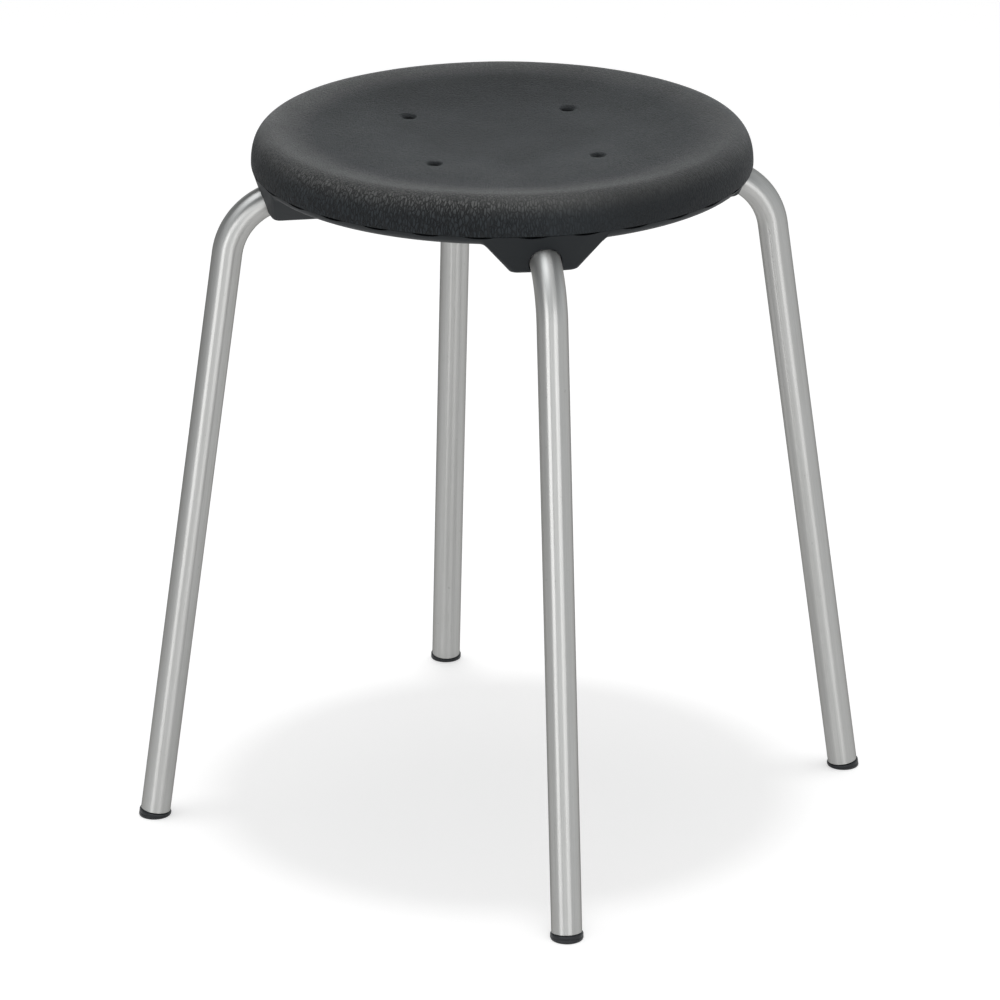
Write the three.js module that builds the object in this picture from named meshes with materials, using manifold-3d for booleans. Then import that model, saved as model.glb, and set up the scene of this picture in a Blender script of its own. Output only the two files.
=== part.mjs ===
import * as THREE from 'three';
import { mergeVertices } from 'three/addons/utils/BufferGeometryUtils.js';
import Module from 'manifold-3d';

// A stacking stool: a dished foam cushion on a stiff plate, a moulded shell under it with a ribbed
// housing for each leg, four bent tube legs with level-cut glides, and the bolts that hold the legs.
// Millimetres, +Z up, origin on the floor under the middle of the seat.

// Seat
const seatDiameter = 350;
const seatHeight = 504;
const upperRimWidth = 16;
const lowerRimWidth = 15;
const lowerRimHeight = 10.15;
const dishDepth = 9.5;
const dishFlatShare = 0.65;
const dishEdgeShare = 0.95;
const seamDrop = 1.7;
const foamThickness = 12.25;

// The pin holes in the cushion
const pinHoleCount = 4;
const pinHoleCircleRadius = 80.2;
const pinHoleDiameter = 8.5;
const pinHoleFlare = 0.95;
const pinHoleMouthDepth = 3;

// Plate that the foam is moulded on
const plateInset = 19;
const plateThickness = 9;

// Legs
const legSides = ['right', 'back', 'left', 'front'];
const tubeDiameter = 21.3;
const tubeWall = 2;
const tubeEndGap = 6;
const bendRadius = 47;
const legSplay = THREE.MathUtils.degToRad(8.18);
const footReach = 79.7;

// Glides in the lower ends of the tubes
const footOverhang = 0.85;
const footHeight = 4.4;
const footSoleChamfer = 1;
const footStemLength = 20;
const footFinDepth = 1.85;
const footFinWidth = 2;
const footFinPitch = 6.5;
const footFinCount = 2;
const footStemTip = 1.5;

// Shell under the cushion, with a housing for each leg
const shellWall = 2.5;
const shellFloor = 2.8;
const wallUnderTube = 1.5;
const housingSideMargin = 11.15;
const housingFlare = 17.65;
const housingFaceSetback = 9.4;
const housingEdgeRadius = 5;
const housingCornerRadius = 3;
const housingFilletRadius = 6;
const hubRadius = 40;
const hubWellRadius = 24;
const ribRadii = [58, 84, 110, 146];
const ribThickness = 2.5;

// Shallow gaps along the seam under the cushion's rim
const seamGapCount = 30;
const seamGapPhase = THREE.MathUtils.degToRad(3);
const seamGapLength = 21;
const seamGapHeight = 1.4;
const seamGapDepth = 4;

// Bolts that hold the legs, and the inserts in the plate that they go into
const boltRunShares = { inner: 0.246, outer: 0.807 };
const boltDiameter = 6;
const boltTipInset = 2.7;
const boltTipChamfer = 0.6;
const boltHeadOverhang = 2.25;
const boltHeadHeight = 3.3;
const boltHeadLip = 0.8;
const boltDomeWidth = 1.75;
const boltSocketWidth = 4;
const boltSocketDepth = 2;
const insertWall = 1.1;
const insertFlangeWidth = 0.9;
const insertFlangeHeight = 1;
const insertTopInset = 0.8;

// Clearance between neighbours, and how far a cutting body runs past what it cuts
const clearance = 0.3;
const mouthClearance = 0.8;
const overrun = 5;

// Fineness of round forms
const seatSegments = 48;
const tubeSegments = 24;
const channelSegments = 16;
const bendSteps = 8;
const smallSegments = 12;
const cornerSteps = 3;
const upperRimSteps = 5;
const lowerRimSteps = 2;
const dishSteps = 5;
const lipSteps = 4;
const seamGapSteps = 4;
const domeSteps = 2;

// Sizes worked out from the ones above
const fullTurn = 2 * Math.PI;
const legCount = legSides.length;
const seatRadius = seatDiameter / 2;
const crestRadius = seatRadius - upperRimWidth;
const lowerRimCentre = seatRadius - lowerRimWidth;
const plateRadius = seatRadius - plateInset;
const tubeRadius = tubeDiameter / 2;
const channelRadius = tubeRadius + clearance;

// Heights, from the top of the seat down
const dishBottom = seatHeight - dishDepth;
const plateTop = dishBottom - foamThickness - clearance;
const plateBottom = plateTop - plateThickness;
const floorTop = plateBottom - clearance;
const floorBottom = floorTop - shellFloor;
const seatWidestHeight = floorBottom + lowerRimHeight;
const seamHeight = seatWidestHeight - seamDrop;
const shellRimTop = seamHeight - clearance;
const tubeRunHeight = plateBottom - channelRadius;
const housingBottomHeight = tubeRunHeight - channelRadius - wallUnderTube;

// Radii and widths of what is fitted to the seat and to the tubes
const seamRadius = lowerRimCentre
  + lowerRimWidth * Math.cos(Math.asin((seamHeight - seatWidestHeight) / lowerRimHeight));
const footCircleRadius = seatRadius + footReach;
const bendStartRadius = footCircleRadius - tubeRunHeight * Math.tan(legSplay)
  - bendRadius * Math.tan((Math.PI / 2 - legSplay) / 2);
const tubeInnerEndRadius = hubRadius + tubeEndGap;
const housingBottomWidth = 2 * (channelRadius + housingSideMargin);
const housingTopWidth = housingBottomWidth + 2 * housingFlare;
const footRadius = tubeRadius + footOverhang;
const stemRadius = tubeRadius - tubeWall - clearance;
const boltRadii = Object.fromEntries(Object.entries(boltRunShares).map(([place, share]) => (
  [place, THREE.MathUtils.lerp(tubeInnerEndRadius, bendStartRadius, share)]
)));
const boltHoleDiameter = boltDiameter + 2 * clearance;
const boltHeadDiameter = boltDiameter + 2 * boltHeadOverhang;
const insertDiameter = boltHoleDiameter + 2 * insertWall;
const insertFlangeDiameter = insertDiameter + 2 * insertFlangeWidth;
const insertTop = plateTop - insertTopInset;

const wasm = await Module();
wasm.setup();

const materials = {
  cushion: new THREE.MeshStandardMaterial({ color: 0x2b2d2f, roughness: 0.55, metalness: 0 }),
  shell: new THREE.MeshStandardMaterial({ color: 0x2c3135, roughness: 0.6, metalness: 0 }),
  plate: new THREE.MeshStandardMaterial({ color: 0xb58d5e, roughness: 0.8, metalness: 0 }),
  tube: new THREE.MeshStandardMaterial({ color: 0xb4b5b4, roughness: 0.35, metalness: 1 }),
  glide: new THREE.MeshStandardMaterial({ color: 0x232527, roughness: 0.5, metalness: 0 }),
  bolt: new THREE.MeshStandardMaterial({ color: 0x9a9ca0, roughness: 0.4, metalness: 1 }),
  insert: new THREE.MeshStandardMaterial({ color: 0xa8a494, roughness: 0.45, metalness: 1 }),
};

// Turns a closed geometry into a solid that can be joined and cut
function toSolid(geometry) {
  const bare = geometry.clone();
  bare.deleteAttribute('normal');
  bare.deleteAttribute('uv');
  const merged = mergeVertices(bare);
  const corners = merged.index.array;
  const triangles = [];
  for (let first = 0; first < corners.length; first += 3) {
    const [a, b, c] = [corners[first], corners[first + 1], corners[first + 2]];
    if (a !== b && b !== c && c !== a) triangles.push(a, b, c);
  }
  return new wasm.Manifold(new wasm.Mesh({
    numProp: 3,
    vertProperties: new Float32Array(merged.attributes.position.array),
    triVerts: new Uint32Array(triangles),
  }));
}

function toGeometry(solid) {
  const mesh = solid.getMesh();
  const geometry = new THREE.BufferGeometry();
  geometry.setAttribute('position', new THREE.BufferAttribute(mesh.vertProperties, 3));
  geometry.setIndex(new THREE.BufferAttribute(mesh.triVerts, 1));
  geometry.computeVertexNormals();
  return geometry;
}

// Joins a list of solids into one
function joined(solids) {
  return solids.reduce((whole, solid) => whole.add(solid));
}

// A body turned about the vertical axis from points given as radius and height
function turned(points, segments) {
  const profile = points.map(([radius, height]) => new THREE.Vector2(radius, height));
  return new THREE.LatheGeometry(profile, segments).rotateX(Math.PI / 2);
}

// Points along an outline whose corners are [across, up, radius]; a corner with no radius stays sharp
function roundedOutline(corners) {
  return corners.flatMap(([across, up, radius = 0], index) => {
    if (radius === 0) return [[across, up]];
    const corner = new THREE.Vector2(across, up);
    const [previous, next] = [corners.at(index - 1), corners[(index + 1) % corners.length]];
    const toPrevious = new THREE.Vector2(previous[0], previous[1]).sub(corner).normalize();
    const toNext = new THREE.Vector2(next[0], next[1]).sub(corner).normalize();
    const halfAngle = Math.acos(toPrevious.dot(toNext)) / 2;
    const reach = radius / Math.tan(halfAngle);
    const middle = toPrevious.clone().add(toNext).setLength(radius / Math.sin(halfAngle)).add(corner);
    const start = toPrevious.setLength(reach).add(corner).sub(middle);
    const end = toNext.setLength(reach).add(corner).sub(middle);
    const sweep = Math.atan2(start.cross(end), start.dot(end));
    return Array.from({ length: cornerSteps + 1 }, (_, step) => {
      const angle = start.angle() + sweep * step / cornerSteps;
      return [middle.x + radius * Math.cos(angle), middle.y + radius * Math.sin(angle)];
    });
  });
}

// A bar along +X from an outline of [sideways, up] points
function radialBar(points, from, to) {
  const outline = new THREE.Shape(points.map(([sideways, up]) => new THREE.Vector2(sideways, up)));
  const bar = new THREE.ExtrudeGeometry(outline, { depth: to - from, bevelEnabled: false });
  bar.translate(0, 0, from);
  return bar.applyMatrix4(new THREE.Matrix4().makeBasis(
    new THREE.Vector3(0, 1, 0),
    new THREE.Vector3(0, 0, 1),
    new THREE.Vector3(1, 0, 0),
  ));
}

// A box that is centred sideways and goes from one radius and height to another along +X
function radialBox(fromRadius, toRadius, fromHeight, toHeight, width) {
  const box = new THREE.BoxGeometry(toRadius - fromRadius, width, toHeight - fromHeight);
  return box.translate((fromRadius + toRadius) / 2, 0, (fromHeight + toHeight) / 2);
}

// An upright round pin at a radius along +X
function uprightPin(radius, diameter, fromHeight, toHeight) {
  const pin = new THREE.CylinderGeometry(diameter / 2, diameter / 2, toHeight - fromHeight, smallSegments);
  return pin.rotateX(Math.PI / 2).translate(radius, 0, (fromHeight + toHeight) / 2);
}

// Copies of a solid spread evenly round the vertical axis
function aroundSeat(solid, count, phase = 0) {
  return joined(Array.from({ length: count }, (_, index) => (
    solid.rotate([0, 0, THREE.MathUtils.radToDeg(phase + index * fullTurn / count)])
  )));
}

// The part of an ellipse between two angles, as points
function ellipseArc(centre, halfWidth, halfHeight, fromAngle, toAngle, steps) {
  return Array.from({ length: steps + 1 }, (_, step) => {
    const angle = fromAngle + (toAngle - fromAngle) * step / steps;
    return [centre[0] + halfWidth * Math.cos(angle), centre[1] + halfHeight * Math.sin(angle)];
  });
}

// The path of a leg's centre line: level from the inner end, round the bend, then down to the glide
class LegPath extends THREE.Curve {
  constructor() {
    super();
    this.innerEnd = new THREE.Vector3(tubeInnerEndRadius, 0, tubeRunHeight);
    this.bendCentre = new THREE.Vector3(bendStartRadius, 0, tubeRunHeight - bendRadius);
    this.footPoint = new THREE.Vector3(footCircleRadius, 0, 0);
    this.downward = new THREE.Vector3(Math.sin(legSplay), 0, -Math.cos(legSplay));
    this.lowerEnd = this.footPoint.clone().addScaledVector(this.downward, -footHeight);
    this.steps = bendSteps + 2;
  }

  getPointAt(share) {
    const step = share * this.steps;
    if (step <= 1) return this.innerEnd.clone().lerp(this.bendPoint(0), step);
    if (step < this.steps - 1) return this.bendPoint((step - 1) / bendSteps);
    return this.bendPoint(1).lerp(this.lowerEnd, step - this.steps + 1);
  }

  getTangentAt(share) {
    const step = THREE.MathUtils.clamp(share * this.steps - 1, 0, bendSteps);
    const turn = (Math.PI / 2 - legSplay) * step / bendSteps;
    return new THREE.Vector3(Math.cos(turn), 0, -Math.sin(turn));
  }

  bendPoint(share) {
    const turn = (Math.PI / 2 - legSplay) * share;
    const outward = new THREE.Vector3(Math.sin(turn), 0, Math.cos(turn));
    return this.bendCentre.clone().addScaledVector(outward, bendRadius);
  }
}

// A round section with a round hole, or a solid one, swept along a leg's path
function sweptLeg(segments, outerRadius, innerRadius = 0) {
  const section = new THREE.Shape().absarc(0, 0, outerRadius, 0, fullTurn, false);
  if (innerRadius > 0) section.holes.push(new THREE.Path().absarc(0, 0, innerRadius, 0, fullTurn, true));
  const path = new LegPath();
  return new THREE.ExtrudeGeometry(section, {
    steps: path.steps,
    curveSegments: segments / 2,
    extrudePath: path,
  });
}

function makeCushion() {
  const recessRadius = plateRadius + clearance;
  const recessTop = plateTop + clearance;
  const seamAngle = Math.asin((seamHeight - seatWidestHeight) / lowerRimHeight);
  const lowerRim = ellipseArc(
    [lowerRimCentre, seatWidestHeight], lowerRimWidth, lowerRimHeight, seamAngle, 0, lowerRimSteps,
  );
  const upperRim = ellipseArc(
    [crestRadius, seatWidestHeight],
    upperRimWidth,
    seatHeight - seatWidestHeight,
    0,
    Math.PI / 2,
    upperRimSteps,
  );
  const dish = new THREE.CubicBezierCurve(
    new THREE.Vector2(crestRadius, seatHeight),
    new THREE.Vector2(crestRadius * dishEdgeShare, seatHeight),
    new THREE.Vector2(crestRadius * dishFlatShare, dishBottom),
    new THREE.Vector2(0, dishBottom),
  ).getPoints(dishSteps).map((point) => [point.x, point.y]);
  const pad = toSolid(turned([
    [0, recessTop],
    [recessRadius, recessTop],
    [recessRadius, seamHeight],
    ...lowerRim,
    ...upperRim.slice(1),
    ...dish.slice(1),
  ], seatSegments));
  const outer = dish.findLast(([radius]) => radius >= pinHoleCircleRadius);
  const inner = dish.find(([radius]) => radius < pinHoleCircleRadius);
  const surface = THREE.MathUtils.mapLinear(pinHoleCircleRadius, inner[0], outer[0], inner[1], outer[1]);
  const hole = toSolid(turned([
    [0, recessTop - overrun],
    [pinHoleDiameter / 2, recessTop - overrun],
    [pinHoleDiameter / 2, surface - pinHoleMouthDepth],
    [pinHoleDiameter / 2 + pinHoleFlare, surface],
    [pinHoleDiameter / 2 + pinHoleFlare, seatHeight],
    [0, seatHeight],
  ], smallSegments)).translate([pinHoleCircleRadius, 0, 0]);
  return toGeometry(pad.subtract(aroundSeat(hole, pinHoleCount, fullTurn / pinHoleCount / 2)));
}

function makePlate() {
  const disc = toSolid(turned([
    [0, plateBottom],
    [plateRadius, plateBottom],
    [plateRadius, plateTop],
    [0, plateTop],
  ], seatSegments));
  const seats = joined(Object.values(boltRadii).map((radius) => joined([
    toSolid(uprightPin(radius, insertDiameter + 2 * clearance, plateBottom - overrun, plateTop + overrun)),
    toSolid(uprightPin(
      radius,
      insertFlangeDiameter + 2 * clearance,
      plateBottom - overrun,
      plateBottom + insertFlangeHeight + clearance,
    )),
  ])));
  return toGeometry(disc.subtract(aroundSeat(seats, legCount)));
}

// The outer surface that bounds the housings all round, moved inward by a wall
function housingEnvelope(inset, bottom, top) {
  const faceTopRadius = seamRadius - inset;
  const faceSlope = housingFaceSetback / (shellRimTop - housingBottomHeight);
  const faceRadiusAt = (height) => faceTopRadius - (shellRimTop - height) * faceSlope;
  return toSolid(turned(roundedOutline([
    [0, bottom],
    [faceRadiusAt(bottom), bottom, housingEdgeRadius],
    [faceRadiusAt(top), top],
    [0, top],
  ]), seatSegments));
}

// A housing's section seen from its end, moved inward by a wall
function housingSection(inset, bottom, top) {
  const slope = (housingTopWidth - housingBottomWidth) / 2 / (floorBottom - housingBottomHeight);
  const sideInset = inset * Math.hypot(1, slope);
  const halfWidthAt = (height) => (
    housingBottomWidth / 2 + (height - housingBottomHeight) * slope - sideInset
  );
  return roundedOutline([
    [-halfWidthAt(bottom), bottom, housingCornerRadius],
    [halfWidthAt(bottom), bottom, housingCornerRadius],
    [halfWidthAt(top), top],
    [-halfWidthAt(top), top],
  ]);
}

// A housing's section that ends under the shell's floor with a fillet on each side
function filletedSection() {
  const flare = housingTopWidth / 2 + housingFilletRadius;
  return roundedOutline([
    [-housingBottomWidth / 2, housingBottomHeight, housingCornerRadius],
    [housingBottomWidth / 2, housingBottomHeight, housingCornerRadius],
    [housingTopWidth / 2, floorBottom, housingFilletRadius],
    [flare, floorBottom],
    [flare, floorTop],
    [-flare, floorTop],
    [-flare, floorBottom],
    [-housingTopWidth / 2, floorBottom, housingFilletRadius],
  ]);
}

function makeShell() {
  const recessRadius = plateRadius + clearance;
  const recessCut = toSolid(turned([
    [0, floorTop],
    [recessRadius, floorTop],
    [recessRadius, shellRimTop + overrun],
    [0, shellRimTop + overrun],
  ], seatSegments));
  const lipAngle = Math.asin((shellRimTop - seatWidestHeight) / lowerRimHeight);
  const tray = toSolid(turned([
    [0, floorBottom],
    [lowerRimCentre - housingFilletRadius, floorBottom],
    ...ellipseArc(
      [lowerRimCentre, seatWidestHeight], lowerRimWidth, lowerRimHeight, -Math.PI / 2, lipAngle, lipSteps,
    ),
    [0, shellRimTop],
  ], seatSegments));
  const envelope = housingEnvelope(0, housingBottomHeight, shellRimTop);
  const arm = toSolid(radialBar(housingSection(0, housingBottomHeight, shellRimTop), 0, seatRadius));
  const filletedArm = toSolid(radialBar(filletedSection(), 0, lowerRimCentre));
  const filletBound = toSolid(turned([
    [0, housingBottomHeight],
    [lowerRimCentre - housingFilletRadius, housingBottomHeight],
    [lowerRimCentre - housingFilletRadius, floorTop],
    [0, floorTop],
  ], seatSegments));
  const body = joined([
    tray,
    envelope.intersect(aroundSeat(arm, legCount)),
    filletBound.intersect(aroundSeat(filletedArm, legCount)),
  ]);

  const cavityBottom = housingBottomHeight + shellWall;
  const cavityTop = shellRimTop + overrun;
  const cavity = housingEnvelope(shellWall, cavityBottom, cavityTop).intersect(
    toSolid(radialBar(housingSection(shellWall, cavityBottom, cavityTop), hubRadius, seatRadius)),
  );
  const ribs = joined(ribRadii.map((radius) => toSolid(
    radialBox(radius, radius + ribThickness, housingBottomHeight, cavityTop, housingTopWidth + 2 * overrun),
  )));
  const hubWell = toSolid(turned([
    [0, cavityBottom],
    [hubWellRadius, cavityBottom],
    [hubWellRadius, cavityTop],
    [0, cavityTop],
  ], tubeSegments));
  const channel = toSolid(sweptLeg(channelSegments, channelRadius)).add(toSolid(
    radialBox(tubeInnerEndRadius - clearance, bendStartRadius, tubeRunHeight, cavityTop, 2 * channelRadius),
  ));
  const mouth = toSolid(sweptLeg(channelSegments, tubeRadius + mouthClearance)).intersect(toSolid(
    radialBox(lowerRimCentre, seatRadius + overrun, 0, cavityTop, housingTopWidth),
  ));
  const boltHoles = joined(Object.values(boltRadii).map((radius) => toSolid(
    uprightPin(radius, boltHoleDiameter, housingBottomHeight - overrun, cavityTop),
  )));
  const hollows = joined([cavity.subtract(ribs), channel, mouth, boltHoles]);

  const gapHalf = seamGapLength / 2;
  const gapRadius = (gapHalf ** 2 + seamGapHeight ** 2) / (2 * seamGapHeight);
  const gapSpread = Math.asin(gapHalf / gapRadius);
  const gapCentre = shellRimTop - seamGapHeight + gapRadius;
  const gapArc = ellipseArc(
    [0, gapCentre],
    gapRadius,
    gapRadius,
    -Math.PI / 2 - gapSpread,
    -Math.PI / 2 + gapSpread,
    seamGapSteps,
  );
  const gap = toSolid(radialBar(
    [...gapArc, [gapHalf, shellRimTop + overrun], [-gapHalf, shellRimTop + overrun]],
    seamRadius - seamGapDepth,
    seatRadius,
  ));
  const seamGaps = aroundSeat(gap, seamGapCount, seamGapPhase);

  return toGeometry(body.subtract(recessCut).subtract(aroundSeat(hollows, legCount)).subtract(hubWell)
    .subtract(seamGaps));
}

function makeLeg() {
  const tube = toSolid(sweptLeg(tubeSegments, tubeRadius, tubeRadius - tubeWall));
  const boltHoles = joined(Object.values(boltRadii).map((radius) => toSolid(uprightPin(
    radius,
    boltHoleDiameter,
    tubeRunHeight - tubeRadius - overrun,
    tubeRunHeight + tubeRadius + overrun,
  ))));
  return toGeometry(tube.subtract(boltHoles));
}

// The glide is turned about its tube's axis, tilted with the leg and cut level at the floor
function makeFoot() {
  const coreRadius = stemRadius - footFinDepth;
  const flangeTop = footHeight - clearance;
  const fins = Array.from({ length: footFinCount }, (_, index) => {
    const finBottom = footHeight + footFinPitch * (index + 1) - footFinWidth;
    return [
      [coreRadius, finBottom],
      [stemRadius, finBottom],
      [stemRadius, finBottom + footFinWidth],
      [coreRadius, finBottom + footFinWidth],
    ];
  }).flat();
  const stemTop = footHeight + footStemLength;
  const blank = toSolid(turned([
    [0, -overrun],
    [footRadius, -overrun],
    [footRadius, flangeTop],
    [coreRadius, flangeTop],
    ...fins,
    [coreRadius, stemTop - footStemTip],
    [coreRadius - footStemTip, stemTop],
    [0, stemTop],
  ], channelSegments));
  const tilted = blank.rotate([0, -THREE.MathUtils.radToDeg(legSplay), 0]);
  const levelReach = footRadius / Math.cos(legSplay);
  const sole = toSolid(turned([
    [0, 0],
    [levelReach - footSoleChamfer, 0],
    [levelReach + stemTop - footSoleChamfer, stemTop],
    [0, stemTop],
  ], channelSegments));
  return toGeometry(tilted.intersect(sole).translate([footCircleRadius, 0, 0]));
}

function makeInsert() {
  const bore = boltHoleDiameter / 2;
  return toGeometry(toSolid(turned([
    [bore, plateBottom],
    [insertFlangeDiameter / 2, plateBottom],
    [insertFlangeDiameter / 2, plateBottom + insertFlangeHeight],
    [insertDiameter / 2, plateBottom + insertFlangeHeight],
    [insertDiameter / 2, insertTop],
    [bore, insertTop],
    [bore, plateBottom],
  ], smallSegments)));
}

function makeBolt() {
  const headTop = housingBottomHeight - clearance;
  const headBottom = headTop - boltHeadHeight;
  const tip = plateTop - boltTipInset;
  const domeTop = headTop - boltHeadLip;
  const bolt = toSolid(turned([
    [0, headBottom],
    ...ellipseArc(
      [boltHeadDiameter / 2 - boltDomeWidth, domeTop],
      boltDomeWidth,
      domeTop - headBottom,
      -Math.PI / 2,
      0,
      domeSteps,
    ),
    [boltHeadDiameter / 2, headTop],
    [boltDiameter / 2, headTop],
    [boltDiameter / 2, tip - boltTipChamfer],
    [boltDiameter / 2 - boltTipChamfer, tip],
    [0, tip],
  ], smallSegments));
  const hexagonSides = 6;
  const socketRadius = boltSocketWidth / 2 / Math.cos(Math.PI / hexagonSides);
  const socket = new THREE.CylinderGeometry(
    socketRadius, socketRadius, boltSocketDepth + overrun, hexagonSides,
  ).rotateX(Math.PI / 2).translate(0, 0, headBottom + (boltSocketDepth - overrun) / 2);
  return toGeometry(bolt.subtract(toSolid(socket)));
}

function namedMesh(name, geometry, material) {
  const mesh = new THREE.Mesh(geometry, material);
  mesh.name = name;
  return mesh;
}

const stool = new THREE.Group();
stool.add(namedMesh('seat_cushion', makeCushion(), materials.cushion));
stool.add(namedMesh('seat_plate', makePlate(), materials.plate));
stool.add(namedMesh('under_shell', makeShell(), materials.shell));

const legGeometry = makeLeg();
const footGeometry = makeFoot();
const insertGeometry = makeInsert();
const boltGeometry = makeBolt();

legSides.forEach((side, index) => {
  const quarter = new THREE.Group();
  quarter.rotation.z = index * fullTurn / legCount;
  quarter.add(namedMesh(`leg_${side}`, legGeometry, materials.tube));
  quarter.add(namedMesh(`foot_${side}`, footGeometry, materials.glide));
  Object.entries(boltRadii).forEach(([place, radius]) => {
    const insert = namedMesh(`insert_${side}_${place}`, insertGeometry, materials.insert);
    const bolt = namedMesh(`bolt_${side}_${place}`, boltGeometry, materials.bolt);
    insert.position.x = radius;
    bolt.position.x = radius;
    quarter.add(insert, bolt);
  });
  stool.add(quarter);
});

export default stool;
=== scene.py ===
import math

import bmesh
import bpy
from mathutils import Matrix, Vector, noise


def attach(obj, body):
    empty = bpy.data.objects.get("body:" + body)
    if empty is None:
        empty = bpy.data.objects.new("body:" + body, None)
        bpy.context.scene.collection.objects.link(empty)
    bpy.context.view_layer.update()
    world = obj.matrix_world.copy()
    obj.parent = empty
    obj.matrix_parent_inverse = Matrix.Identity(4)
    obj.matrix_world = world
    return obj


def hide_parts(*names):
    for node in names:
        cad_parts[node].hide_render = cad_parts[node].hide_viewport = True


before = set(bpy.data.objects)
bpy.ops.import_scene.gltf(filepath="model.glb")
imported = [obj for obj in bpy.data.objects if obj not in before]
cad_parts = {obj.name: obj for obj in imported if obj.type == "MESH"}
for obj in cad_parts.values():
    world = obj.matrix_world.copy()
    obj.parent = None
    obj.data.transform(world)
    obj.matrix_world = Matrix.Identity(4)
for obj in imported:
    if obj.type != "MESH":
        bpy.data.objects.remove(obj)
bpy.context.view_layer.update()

scene = bpy.context.scene
scene.view_settings.view_transform = "Standard"

# Sizes in millimetres. They are the solids' own, except that the cushion's shoulder is a little
# fuller, the housings' corners are rounder and filleted, and small edges and waves are added
MM = 0.001
CLEARANCE = 0.3
MOUTH_CLEARANCE = 0.8
OVERRUN = 5.0
MERGE_DISTANCE = 0.001

SEAT_RADIUS = 175.0
SEAT_HEIGHT = 504.0
UPPER_RIM_WIDTH = 16.0
UPPER_RIM_FULLNESS = 2.23
LOWER_RIM_WIDTH = 15.0
LOWER_RIM_HEIGHT = 10.15
DISH_DEPTH = 9.5
DISH_FLAT_SHARE = 0.65
DISH_EDGE_SHARE = 0.95
SEAM_DROP = 1.7
SEAM_EDGE_INSET = 0.7
SEAM_EDGE_STEP = 0.2
SEAM_EDGE_RISE = 0.1
FOAM_THICKNESS = 12.25
PIN_COUNT = 4
PIN_CIRCLE = 80.2
PIN_RADIUS = 4.25
PIN_FLARE = 0.95
PIN_MOUTH_DEPTH = 3.0
PIN_MOUTH_RISE = 0.2
PIN_DIP_WIDTH = 2.3
WAVE_DEPTH = 0.35
WAVES_PER_METRE = 21
WAVE_MARGIN_UP = 2.0
WAVE_MARGIN_OUT = 1.0
PLATE_INSET = 19.0
PLATE_THICKNESS = 9.0

SIDES = ["right", "back", "left", "front"]
QUARTER = 2 * math.pi / len(SIDES)
TUBE_RADIUS = 10.65
TUBE_WALL = 2.0
TUBE_CHAMFER = 0.35
TUBE_END_GAP = 6.0
TUBE_TEXTURE_STEP = 1370.0
BEND_RADIUS = 47.0
SPLAY = math.radians(8.18)
FOOT_REACH = 79.7

FOOT_OVERHANG = 0.85
FOOT_HEIGHT = 4.4
FOOT_EDGE_INSET = 0.7
FOOT_EDGE_STEP = 0.2
FOOT_EDGE_DROP = 0.65
FOOT_LINE_DEPTH = 0.22
FOOT_LINE_SHARES = [0.42, 0.5, 0.58]
FOOT_STEM_LENGTH = 20.0
FOOT_STEM_TIP = 1.5
FOOT_FIN_DEPTH = 1.85
FOOT_FIN_WIDTH = 2.0
FOOT_FIN_EDGE = 0.5
FOOT_FIN_PITCH = 6.5
FOOT_FIN_COUNT = 2
SOLE_EDGE_INSET = 0.95
SOLE_EDGE_STEP = 0.28
SOLE_EDGE_HEIGHT = 0.9

SHELL_WALL = 2.5
SHELL_FLOOR = 2.8
WALL_UNDER_TUBE = 1.5
HOUSING_SIDE_MARGIN = 11.15
HOUSING_FLARE = 17.65
HOUSING_SETBACK = 9.4
HOUSING_EDGE_RADIUS = 5.0
HOUSING_CORNER_RADIUS = 4.8
HOUSING_PLAN_RADIUS = 4.0
HOUSING_FILLET = 8.0
FILLET_OVERLAP = 4.0
FILLET_END_INSET = 6.6
FILLET_RUN_OUT = 3.0
FILLET_LAST_RUN = 0.3
FILLET_BURIAL = 1.0
FILLET_COVER = 1.2
HUB_RADIUS = 40.0
HUB_WELL_RADIUS = 24.0
RIB_RADII = [58.0, 84.0, 110.0, 146.0]
RIB_THICKNESS = 2.5
RIB_OVERRUN = 1.0
GAP_COUNT = 30
GAP_PHASE = math.radians(3)
GAP_LENGTH = 21.0
GAP_HEIGHT = 1.4
GAP_DEPTH = 4.0

BOLT_RUN_SHARES = {"inner": 0.246, "outer": 0.807}
BOLT_RADIUS = 3.0
BOLT_TIP_INSET = 2.7
BOLT_TIP_CHAMFER = 0.6
BOLT_HEAD_OVERHANG = 2.25
BOLT_HEAD_HEIGHT = 3.3
BOLT_HEAD_LIP = 0.8
BOLT_HEAD_EDGE = 0.1
BOLT_DOME_WIDTH = 1.75
SOCKET_WIDTH = 4.0
SOCKET_DEPTH = 2.0
SOCKET_CHAMFER = 0.15

# Sizes worked out from these, with the heights from the top of the seat down
CREST_RADIUS = SEAT_RADIUS - UPPER_RIM_WIDTH
LOWER_RIM_CENTRE = SEAT_RADIUS - LOWER_RIM_WIDTH
RECESS_RADIUS = SEAT_RADIUS - PLATE_INSET + CLEARANCE
CHANNEL_RADIUS = TUBE_RADIUS + CLEARANCE
DISH_BOTTOM = SEAT_HEIGHT - DISH_DEPTH
RECESS_TOP = DISH_BOTTOM - FOAM_THICKNESS
PLATE_TOP = RECESS_TOP - CLEARANCE
PLATE_BOTTOM = PLATE_TOP - PLATE_THICKNESS
FLOOR_TOP = PLATE_BOTTOM - CLEARANCE
FLOOR_BOTTOM = FLOOR_TOP - SHELL_FLOOR
WIDEST_HEIGHT = FLOOR_BOTTOM + LOWER_RIM_HEIGHT
SEAM_HEIGHT = WIDEST_HEIGHT - SEAM_DROP
RIM_TOP = SEAM_HEIGHT - CLEARANCE
RUN_HEIGHT = PLATE_BOTTOM - CHANNEL_RADIUS
HOUSING_BOTTOM = RUN_HEIGHT - CHANNEL_RADIUS - WALL_UNDER_TUBE
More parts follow.
